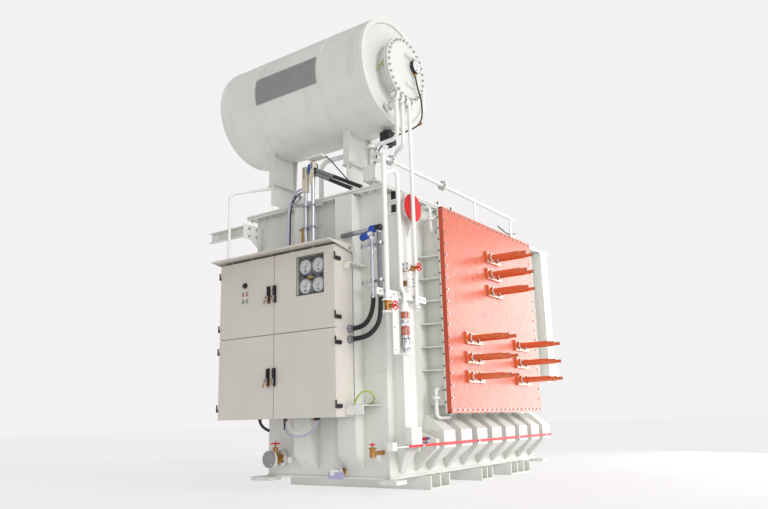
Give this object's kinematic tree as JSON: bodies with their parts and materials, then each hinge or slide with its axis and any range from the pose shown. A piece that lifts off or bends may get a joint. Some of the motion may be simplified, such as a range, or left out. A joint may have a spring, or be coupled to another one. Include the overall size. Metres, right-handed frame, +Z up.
{
  "type": "power transformer",
  "caption": "Oil-filled furnace power transformer with a conservator on top, a control cubicle on the front and a bolted panel of copper terminals on one long side.",
  "frame": {"origin": "middle of the bounding box at the underside of the skids", "axes": "+Z up, -Y the cubicle front, +X the side with the terminal panel"},
  "size_m": [3.32, 5.375, 5.508],
  "materials": {
    "grey_paint": "satin",
    "panel_board": "satin",
    "copper": "polished",
    "red_paint": "gloss",
    "wheel_red": "gloss",
    "galvanized": "satin",
    "black_rubber": "satin",
    "brass": "cast",
    "glass": "clear",
    "instrument_plastic": "satin"
  },
  "bodies": {
    "housing": {"alarm_pipe": "grey_paint", "breather": "instrument_plastic", "conduits": "galvanized", "conservator_hatch": "grey_paint", "conservator_left_end": "grey_paint", "conservator_right_end": "grey_paint", "conservator_shell": "grey_paint", "cubicle_back": "grey_paint", "cubicle_brackets": "grey_paint", "cubicle_hood": "grey_paint", "cubicle_mid_rail": "grey_paint", "cubicle_sides": "grey_paint", "cubicle_top_and_floor": "grey_paint", "down_pipes": "grey_paint", "flexible_hoses": "black_rubber", "gauge_cluster": "instrument_plastic", "hinge_lugs": "grey_paint", "jacking_pads": "grey_paint", "left_arm": "grey_paint", "level_gauge": "grey_paint", "oil_line": "grey_paint", "panel_elbows": "grey_paint", "pipe_rack": "grey_paint", "red_rail": "red_paint", "saddle_arms": "grey_paint", "saddles": "grey_paint", "side_pipes": "grey_paint", "side_posts": "grey_paint", "side_ribs": "grey_paint", "skids": "grey_paint", "tank_cover": "grey_paint", "tank_floor": "grey_paint", "tank_lower_walls": "grey_paint", "tank_rim": "grey_paint", "tank_step_plate": "grey_paint", "tank_upper_walls": "grey_paint", "terminal_panel": "panel_board", "terminals": "copper", "trunnion_discs": "red_paint", "trunnion_tubes": "grey_paint", "turret": "grey_paint", "turret_shelves": "grey_paint", "valve_bodies": "brass", "wall_stiffeners": "grey_paint"},
    "door_lower_left": {"door_lower_left": "grey_paint"},
    "door_lower_right": {"door_lower_right": "grey_paint"},
    "door_upper_left": {"door_upper_left": "grey_paint", "lamps": "instrument_plastic"},
    "door_upper_right": {"door_upper_right": "grey_paint", "gauge_window": "glass"},
    "handle_lower_left": {"handle_lower_left": "instrument_plastic"},
    "handle_lower_right": {"handle_lower_right": "instrument_plastic"},
    "handle_upper_left": {"handle_upper_left": "instrument_plastic"},
    "handle_upper_right": {"handle_upper_right": "instrument_plastic"},
    "selector_knob": {"selector_knob": "instrument_plastic"},
    "wheel_drain": {"wheel_drain": "wheel_red"},
    "wheel_rear": {"wheel_rear": "wheel_red"},
    "wheel_sampling": {"wheel_sampling": "wheel_red"},
    "wheel_side_lower": {"wheel_side_lower": "wheel_red"},
    "wheel_side_upper": {"wheel_side_upper": "wheel_red"}
  },
  "joints": [
    {"name": "door_lower_left_hinge", "type": "hinge", "parent": "housing", "child": "door_lower_left", "pos_m": [-1.263, -2.5595, 1.2405], "axis": [0, 0, -1], "range_deg": [0, 110]},
    {"name": "door_lower_right_hinge", "type": "hinge", "parent": "housing", "child": "door_lower_right", "pos_m": [0.508, -2.5595, 1.2405], "axis": [0, 0, 1], "range_deg": [0, 110]},
    {"name": "door_upper_left_hinge", "type": "hinge", "parent": "housing", "child": "door_upper_left", "pos_m": [-1.263, -2.5595, 2.1495], "axis": [0, 0, -1], "range_deg": [0, 110]},
    {"name": "door_upper_right_hinge", "type": "hinge", "parent": "housing", "child": "door_upper_right", "pos_m": [0.508, -2.5595, 2.1495], "axis": [0, 0, 1], "range_deg": [0, 110]},
    {"name": "handle_lower_left_pivot", "type": "hinge", "parent": "door_lower_left", "child": "handle_lower_left", "pos_m": [-0.448, -2.5745, 1.314], "axis": [0, 1, 0], "range_deg": [0, 90]},
    {"name": "handle_lower_right_pivot", "type": "hinge", "parent": "door_lower_right", "child": "handle_lower_right", "pos_m": [-0.357, -2.5745, 1.314], "axis": [0, -1, 0], "range_deg": [0, 90]},
    {"name": "handle_upper_left_pivot", "type": "hinge", "parent": "door_upper_left", "child": "handle_upper_left", "pos_m": [-0.448, -2.5745, 2.235], "axis": [0, 1, 0], "range_deg": [0, 90]},
    {"name": "handle_upper_right_pivot", "type": "hinge", "parent": "door_upper_right", "child": "handle_upper_right", "pos_m": [-0.357, -2.5745, 2.235], "axis": [0, -1, 0], "range_deg": [0, 90]},
    {"name": "selector_turn", "type": "hinge", "parent": "door_upper_left", "child": "selector_knob", "pos_m": [-0.836, -2.5505, 2.306], "axis": [0, 1, 0], "range_deg": [-45, 45]},
    {"name": "wheel_drain_spin", "type": "hinge", "parent": "housing", "child": "wheel_drain", "pos_m": [-0.656, -2.2205, 0.514], "axis": [0, 0, 1], "continuous": true},
    {"name": "wheel_rear_spin", "type": "hinge", "parent": "housing", "child": "wheel_rear", "pos_m": [0.754, 2.6655, 1.4], "axis": [0, 1, 0], "continuous": true},
    {"name": "wheel_sampling_spin", "type": "hinge", "parent": "housing", "child": "wheel_sampling", "pos_m": [0.739, -2.2705, 0.503], "axis": [0, 0, 1], "continuous": true},
    {"name": "wheel_side_lower_spin", "type": "hinge", "parent": "housing", "child": "wheel_side_lower", "pos_m": [1.185, -2.4335, 1.865], "axis": [1, 0, 0], "continuous": true},
    {"name": "wheel_side_upper_spin", "type": "hinge", "parent": "housing", "child": "wheel_side_upper", "pos_m": [1.181, -1.9505, 2.335], "axis": [1, 0, 0], "continuous": true}
  ]
}
